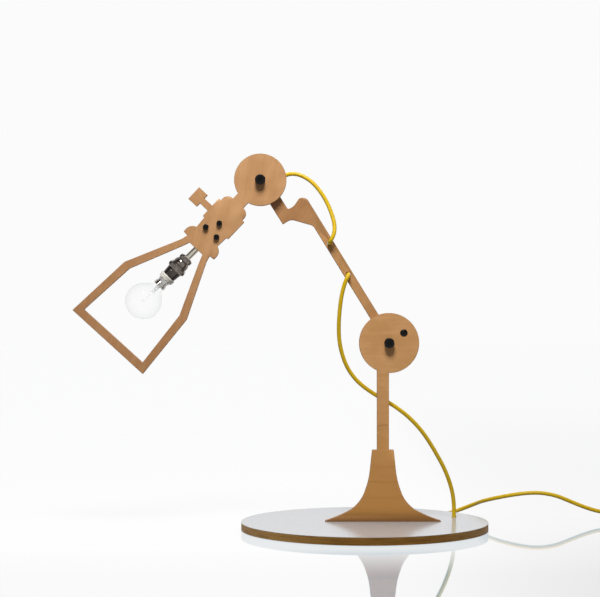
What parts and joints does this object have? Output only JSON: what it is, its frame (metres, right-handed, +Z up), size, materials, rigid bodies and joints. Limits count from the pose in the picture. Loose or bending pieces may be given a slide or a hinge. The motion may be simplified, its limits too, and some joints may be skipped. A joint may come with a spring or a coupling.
{
  "type": "articulated desk lamp",
  "caption": "Flat plywood desk lamp on a round base, its head cut as a lampholder and lampshade outline round a globe bulb, with two screw pivots and a yellow cord.",
  "frame": {"origin": "centre of the base disc's underside", "axes": "+Z up, +X to the right and -Y towards the viewer; the flat plates lie in the plane Y = 0"},
  "size_m": [0.7795, 0.3, 0.4571],
  "materials": {
    "plywood": "clear satin varnish over pale plywood",
    "base_board": "bare sawn edge of a brown board",
    "laminate": "satin white laminate",
    "felt": "dark felt",
    "black_steel": "black oxide",
    "zinc_steel": "zinc plated",
    "nylon": "natural nylon",
    "aluminium": "sawn and brushed",
    "nickel": "bright nickel",
    "bronze": "dark patinated brass",
    "cream_insulator": "glazed cream",
    "brass": "bright brass",
    "bulb_glass": "clear glass",
    "filament": "tungsten wire",
    "yellow_cord": "smooth mustard yellow sheath",
    "black_plastic": "fine grained moulding",
    "rocker_plastic": "polished moulding",
    "pin_steel": "nickel plated"
  },
  "bodies": {
    "stand": {"base_pad": "felt", "base_board": "base_board", "base_laminate": "laminate", "foot_screws": "zinc_steel", "stand_plate": "plywood", "stop_screw": "black_steel", "lower_bolt": "black_steel", "lower_spacer": "nylon", "lower_washer": "zinc_steel", "lower_nut": "zinc_steel", "cord_lower_loop": "yellow_cord", "cord_drop": "yellow_cord", "cord_base_run": "yellow_cord", "cord_arch": "yellow_cord", "cord_after_switch": "yellow_cord", "cord_plug_lead": "yellow_cord", "cord_coil": "yellow_cord", "switch_lower_shell": "black_plastic", "switch_upper_shell": "black_plastic", "switch_pin": "zinc_steel", "switch_terminals": "brass", "switch_sleeves": "black_plastic", "plug_body": "black_plastic", "plug_relief": "black_plastic", "plug_pins": "pin_steel"},
    "arm": {"arm_plate": "plywood", "cord_arm_run": "yellow_cord"},
    "head": {"head_plate": "plywood", "upper_bolt": "black_steel", "upper_spacer": "nylon", "upper_washer": "zinc_steel", "upper_nut": "zinc_steel", "tube_block": "aluminium", "tube_grub_screw": "black_steel", "block_screws": "black_steel", "stem_tube": "nickel", "holder_washer": "nickel", "holder_cap": "bronze", "holder_barrel": "bronze", "holder_ring": "bronze", "holder_skirt": "cream_insulator", "holder_core": "cream_insulator", "holder_contacts": "brass", "bulb_cap": "nickel", "bulb_glass": "bulb_glass", "bulb_mount": "bulb_glass", "bulb_filament": "filament", "cord_clip": "nylon", "clip_screw": "zinc_steel", "cord_head_run": "yellow_cord", "cord_upper_loop": "yellow_cord"},
    "rocker": {"switch_rocker": "rocker_plastic"}
  },
  "joints": [
    {"name": "arm_pivot", "type": "hinge", "parent": "stand", "child": "arm", "pos_m": [0.0298, 0, 0.2269], "axis": [0, -1, 0], "range_deg": [-60, 25], "deforming": ["cord_lower_loop"]},
    {"name": "head_pivot", "type": "hinge", "parent": "arm", "child": "head", "pos_m": [-0.1268, 0, 0.42533], "axis": [0, -1, 0], "range_deg": [-60, 35], "deforming": ["cord_upper_loop"]},
    {"name": "switch_rocker", "type": "hinge", "parent": "stand", "child": "rocker", "pos_m": [0.3296, 0.0005, 0.012], "axis": [-1, 0, 0], "range_deg": [0, 20]}
  ]
}
